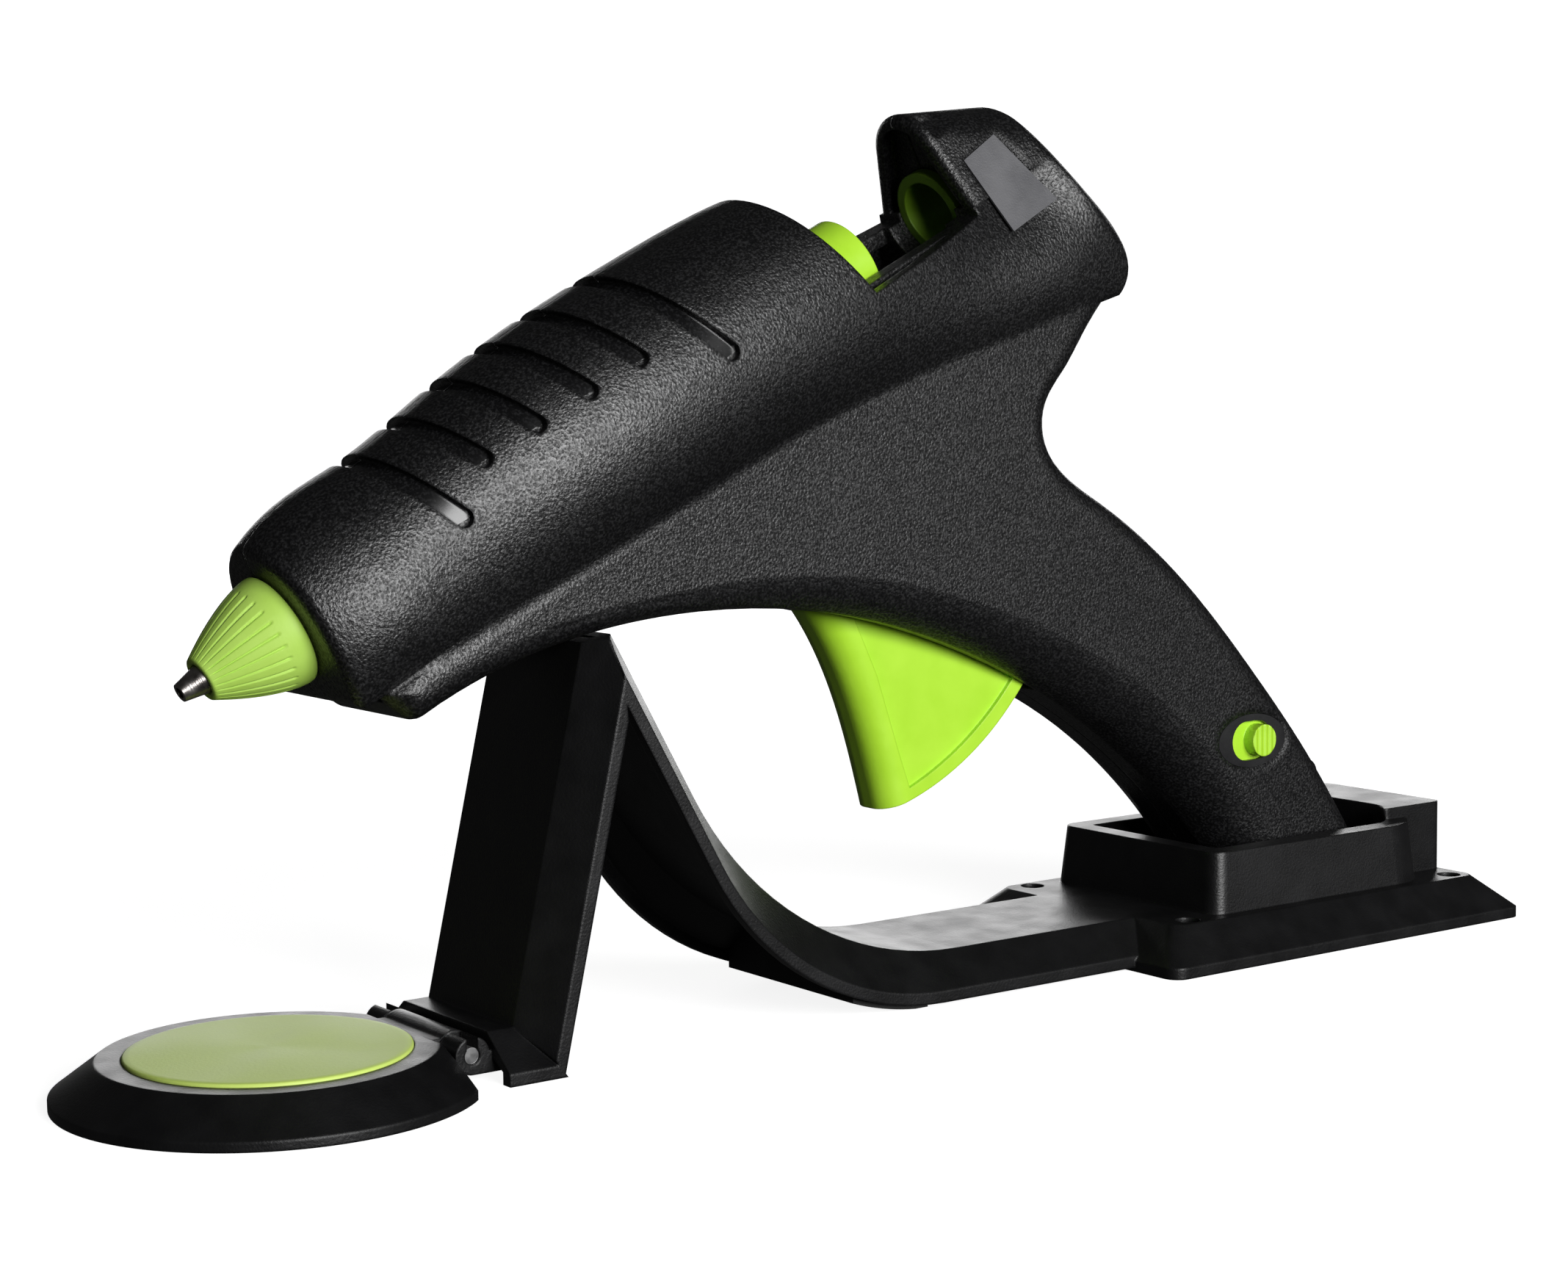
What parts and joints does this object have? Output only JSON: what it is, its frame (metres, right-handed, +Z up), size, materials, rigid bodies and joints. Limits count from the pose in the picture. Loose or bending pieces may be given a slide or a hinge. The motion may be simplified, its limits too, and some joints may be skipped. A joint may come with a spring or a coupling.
{
  "type": "hot glue gun with docking stand",
  "caption": "Cordless hot-melt glue gun with a trigger-fed stick path, resting in a charging dock with a bent arm, a nose rest and a hinged round drip tray.",
  "frame": {"origin": "on the table, below the middle of the whole object's bounding box", "axes": "+X from the nozzle to the dock's rear, +Y to the gun's right-hand side, +Z up"},
  "size_m": [0.286, 0.066, 0.1543],
  "materials": {
    "housing_plastic": "moulded black plastic with a fine eroded grain",
    "stand_plastic": "moulded black plastic, smoother satin surface",
    "green_plastic": "lime green moulded plastic, satin to gloss",
    "boot_silicone": "lime green silicone, matte",
    "pad_silicone": "muted green silicone, matte",
    "nozzle_metal": "turned and plated, dull grey",
    "chamber_aluminium": "die-cast aluminium",
    "liner_steel": "bright sheet steel",
    "steel": "plain steel",
    "screw_steel": "blackened steel",
    "contact_brass": "bare brass",
    "black_plastic": "black moulded plastic, satin",
    "support_plastic": "heat-proof moulded plastic",
    "black_rubber": "black rubber, matte",
    "sleeve_silicone": "red-brown silicone, matte",
    "heater_ceramic": "pale wrapped ceramic",
    "label_grey": "bare grey plate with a fine grain",
    "wire_cover": "pale glass-fibre sleeve"
  },
  "bodies": {
    "stand": {"stand_frame": "stand_plastic", "base_cover": "stand_plastic", "cover_screws": "screw_steel", "rubber_foot": "black_rubber", "dock_terminal_block": "black_plastic", "dock_contacts": "contact_brass", "cord_gland": "black_rubber"},
    "tray": {"drip_tray": "stand_plastic", "drip_pad": "pad_silicone", "hinge_pin": "steel"},
    "gun": {"housing_left": "housing_plastic", "housing_right": "housing_plastic", "housing_screws": "screw_steel", "label_plate": "label_grey", "heat_shield": "liner_steel", "nozzle_tip": "nozzle_metal", "check_ball": "steel", "check_spring": "steel", "nozzle_boot": "boot_silicone", "heating_chamber": "chamber_aluminium", "heater_element": "heater_ceramic", "front_support": "support_plastic", "rear_support": "support_plastic", "inlet_sleeve": "sleeve_silicone", "sleeve_clip": "steel", "stick_guide": "green_plastic", "trigger_pin": "steel", "return_spring": "steel", "switch_bezel": "black_plastic", "switch_body": "black_plastic", "handle_contact_block": "black_plastic", "handle_contacts": "contact_brass", "power_wires": "wire_cover"},
    "trigger": {"trigger": "green_plastic"},
    "carriage": {"feed_carriage": "green_plastic", "drive_pin": "steel", "grip_lever": "steel", "lever_pin": "steel"},
    "switch_slider": {"switch_slider": "green_plastic"}
  },
  "joints": [
    {"name": "gun_lift", "type": "slide", "parent": "stand", "child": "gun", "axis": [0, 0, 1], "range_m": [0, 0.12]},
    {"name": "tray_fold", "type": "hinge", "parent": "stand", "child": "tray", "pos_m": [-0.083, 0, 0.0044], "axis": [0, 1, 0], "range_deg": [0, 65]},
    {"name": "trigger_squeeze", "type": "hinge", "parent": "gun", "child": "trigger", "pos_m": [-0.0072, 0, 0.0858], "axis": [0, -1, 0], "range_deg": [0, 27], "stiffness_Nm_per_rad": 0.6, "springref_deg": -17.19},
    {"name": "carriage_feed", "type": "slide", "parent": "gun", "child": "carriage", "axis": [-0.891, 0, -0.454], "range_m": [0, 0.01]},
    {"name": "switch_slide", "type": "slide", "parent": "gun", "child": "switch_slider", "axis": [-1, 0, 0], "range_m": [0, 0.0025]}
  ],
  "couplings": [
    {"joint": "carriage_feed", "follows": "trigger_squeeze", "m_per_rad": 0.02}
  ]
}
